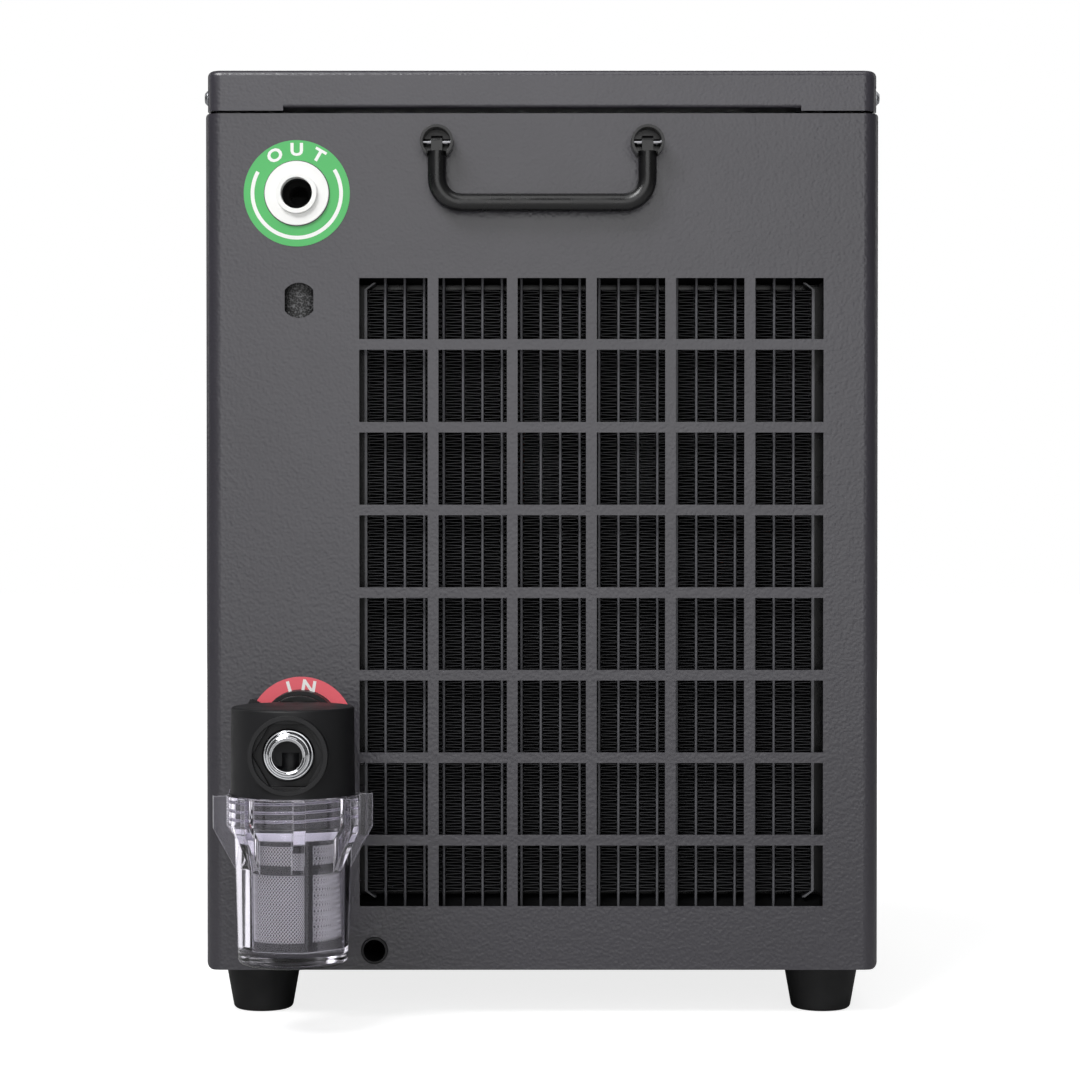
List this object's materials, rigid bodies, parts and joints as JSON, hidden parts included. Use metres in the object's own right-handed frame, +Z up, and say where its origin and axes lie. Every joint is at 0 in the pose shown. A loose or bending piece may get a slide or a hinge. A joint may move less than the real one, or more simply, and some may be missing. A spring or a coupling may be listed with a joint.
{
  "type": "ice bath chiller",
  "caption": "Free-standing water chiller: grey sheet steel cabinet, front grille over a condenser, clear bowl filter, drop handles.",
  "frame": {"origin": "middle of the floor area that the whole chiller covers, at the bottom of the feet", "axes": "+Z up, the face with the grille and the filter towards -Y, +X to the right seen from that side"},
  "size_m": [0.3434, 0.5217, 0.478],
  "materials": {
    "panel_paint": "fine textured powder coat, dark grey",
    "lid_paint": "fine textured powder coat, dark grey",
    "zinc_steel": "zinc plated",
    "foot_rubber": "moulded, matt",
    "handle_plastic": "black moulded nylon",
    "white_plastic": "white moulded",
    "outlet_label": "printed green vinyl",
    "inlet_label": "printed red vinyl",
    "black_plastic": "black moulded, satin",
    "chrome": "polished",
    "clear_plastic": "clear moulded acrylic",
    "seal_silicone": "white silicone",
    "mesh_steel": "woven wire",
    "black_tube": "black hose",
    "jacket_foam": "closed cell foam",
    "aluminium": "brazed, plain",
    "galvanised": "galvanised sheet",
    "black_steel": "black enamel",
    "copper": "copper tube, plain",
    "dark_display": "smoked window",
    "brass_pin": "plain"
  },
  "bodies": {
    "cabinet": {"front_panel": "panel_paint", "rear_panel": "panel_paint", "left_side_panel": "panel_paint", "right_side_panel": "panel_paint", "base_pan": "galvanised", "lid": "lid_paint", "lid_screws": "zinc_steel", "foot_front_left": "foot_rubber", "foot_front_right": "foot_rubber", "foot_rear_left": "foot_rubber", "foot_rear_right": "foot_rubber", "foot_screws": "zinc_steel", "front_handle_hubs": "handle_plastic", "rear_handle_hubs": "handle_plastic", "handle_pins": "zinc_steel", "outlet_fitting": "white_plastic", "outlet_nut": "white_plastic", "outlet_label": "outlet_label", "inlet_fitting": "black_plastic", "inlet_collar": "black_plastic", "inlet_nut": "black_plastic", "inlet_label": "inlet_label", "drain_sleeve": "black_plastic", "drain_tube": "black_tube", "filter_head": "black_plastic", "filter_connector": "chrome", "condenser_core": "aluminium", "condenser_fins": "aluminium", "fan_shroud": "black_steel", "fan_motor_bracket": "galvanised", "fan_motor": "black_steel", "compressor": "black_steel", "compressor_grommets": "foot_rubber", "evaporator_barrel": "white_plastic", "evaporator_jacket": "jacket_foam", "pump": "black_plastic", "outlet_hose": "black_tube", "outlet_foam": "jacket_foam", "suction_hose": "black_tube", "feed_hose": "black_tube", "discharge_pipe": "copper", "suction_pipe": "copper", "liquid_line": "copper", "control_bezel": "black_plastic", "control_display": "dark_display", "control_box": "black_plastic", "power_inlet": "black_plastic", "power_pins": "brass_pin"},
    "front_handle": {"front_handle_bar": "handle_plastic"},
    "rear_handle": {"rear_handle_bar": "handle_plastic"},
    "fan": {"fan_blades": "black_plastic"},
    "filter_cartridge": {"filter_seal": "seal_silicone", "strainer_frame": "black_plastic", "strainer_mesh": "mesh_steel"},
    "bowl": {"filter_bowl": "clear_plastic"},
    "power_key": {"power_button": "black_plastic"},
    "down_key": {"down_button": "black_plastic"},
    "up_key": {"up_button": "black_plastic"},
    "rocker": {"power_rocker": "black_plastic"}
  },
  "joints": [
    {"name": "front_handle_swing", "type": "hinge", "parent": "cabinet", "child": "front_handle", "pos_m": [0, -0.1811, 0.4405], "axis": [-1, 0, 0], "range_deg": [0, 90]},
    {"name": "rear_handle_swing", "type": "hinge", "parent": "cabinet", "child": "rear_handle", "pos_m": [0, 0.2549, 0.4405], "axis": [1, 0, 0], "range_deg": [0, 90]},
    {"name": "fan_spin", "type": "hinge", "parent": "cabinet", "child": "fan", "pos_m": [0.02475, -0.1131, 0.214], "axis": [0, 1, 0], "continuous": true},
    {"name": "bowl_drop", "type": "slide", "parent": "cabinet", "child": "filter_cartridge", "axis": [0, 0, -1], "range_m": [0, 0.0126]},
    {"name": "bowl_turn", "type": "hinge", "parent": "filter_cartridge", "child": "bowl", "pos_m": [-0.1216, -0.2221, 0.08], "axis": [0, 0, -1], "range_deg": [0, 1080]},
    {"name": "power_key_press", "type": "slide", "parent": "cabinet", "child": "power_key", "axis": [0, -1, 0], "range_m": [0, 0.0009], "stiffness_N_per_m": 400, "springref_m": -0.001},
    {"name": "down_key_press", "type": "slide", "parent": "cabinet", "child": "down_key", "axis": [0, -1, 0], "range_m": [0, 0.0009], "stiffness_N_per_m": 400, "springref_m": -0.001},
    {"name": "up_key_press", "type": "slide", "parent": "cabinet", "child": "up_key", "axis": [0, -1, 0], "range_m": [0, 0.0009], "stiffness_N_per_m": 400, "springref_m": -0.001},
    {"name": "rocker_tilt", "type": "hinge", "parent": "cabinet", "child": "rocker", "pos_m": [-0.12, 0.2484, 0.106], "axis": [1, 0, 0], "range_deg": [-8, 8]}
  ],
  "couplings": [
    {"joint": "bowl_drop", "follows": "bowl_turn", "m_per_rad": 0.00066845}
  ]
}
